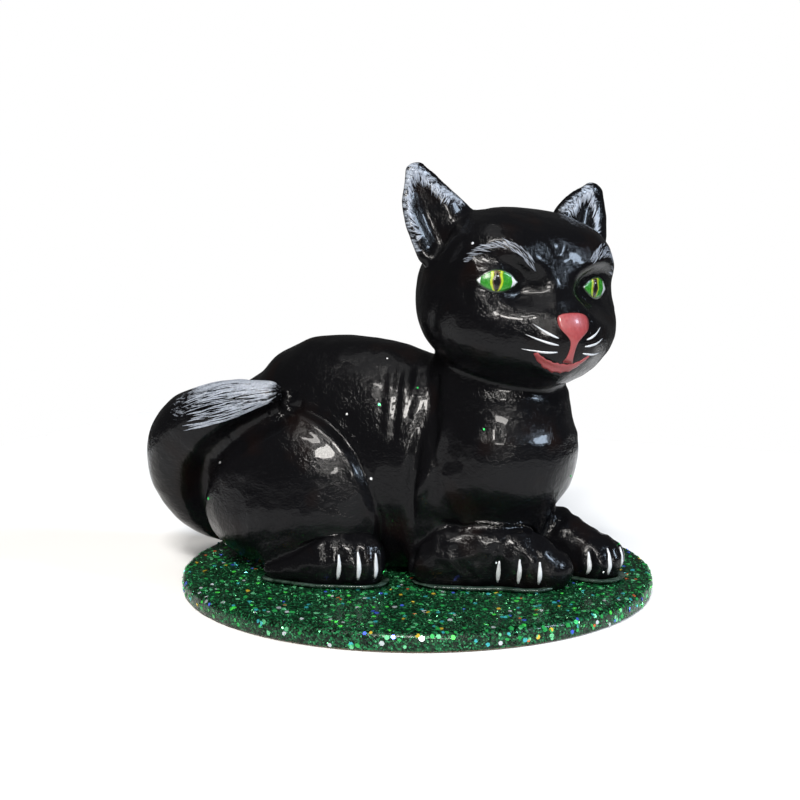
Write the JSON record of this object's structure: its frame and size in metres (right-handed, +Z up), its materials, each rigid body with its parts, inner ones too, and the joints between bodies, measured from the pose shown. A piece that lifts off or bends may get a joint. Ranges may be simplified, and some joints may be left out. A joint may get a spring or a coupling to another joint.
{
  "type": "alebrije figure",
  "caption": "Reclining black cat figure with curled tail and turned head, glued to a round glitter-coated board.",
  "frame": {"origin": "centre of the round board's flat underside", "axes": "+X the way the cat lies, +Y the cat's left side, +Z up out of the board"},
  "size_m": [0.1467, 0.1358, 0.1204],
  "materials": {
    "black_lacquer": "glossy black varnish with brush marks over papier mache; white brushed strokes, painted eyes, nose and claws",
    "green_glitter": "dark green glitter set in clear glue, with coloured flakes",
    "fibreboard": "bare fibreboard",
    "paper_wad": "matt wadded paper",
    "armature_wire": "plain drawn wire",
    "eye_paint": "bright green, yellow, black and white acrylic paint under varnish",
    "pink_paint": "salmon pink acrylic paint, satin",
    "white_paint": "white acrylic paint in fine brush strokes",
    "dried_glue": "translucent dried craft glue"
  },
  "bodies": {
    "root": {"head_shell": "black_lacquer", "chest_shell": "black_lacquer", "torso_shell": "black_lacquer", "ear_right": "black_lacquer", "ear_left": "black_lacquer", "haunch_right": "black_lacquer", "haunch_left": "black_lacquer", "hind_foot_right": "black_lacquer", "hind_foot_left": "black_lacquer", "foreleg_right": "black_lacquer", "foreleg_left": "black_lacquer", "tail": "black_lacquer", "head_core": "paper_wad", "chest_core": "paper_wad", "torso_core": "paper_wad", "spine_wire": "armature_wire", "foreleg_wire_right": "armature_wire", "foreleg_wire_left": "armature_wire", "hind_leg_wire_right": "armature_wire", "hind_leg_wire_left": "armature_wire", "glue_forepaw_right": "dried_glue", "glue_forepaw_left": "dried_glue", "glue_hind_foot_right": "dried_glue", "glue_hind_foot_left": "dried_glue", "glitter_coat": "green_glitter", "base_board": "fibreboard"}
  },
  "joints": []
}
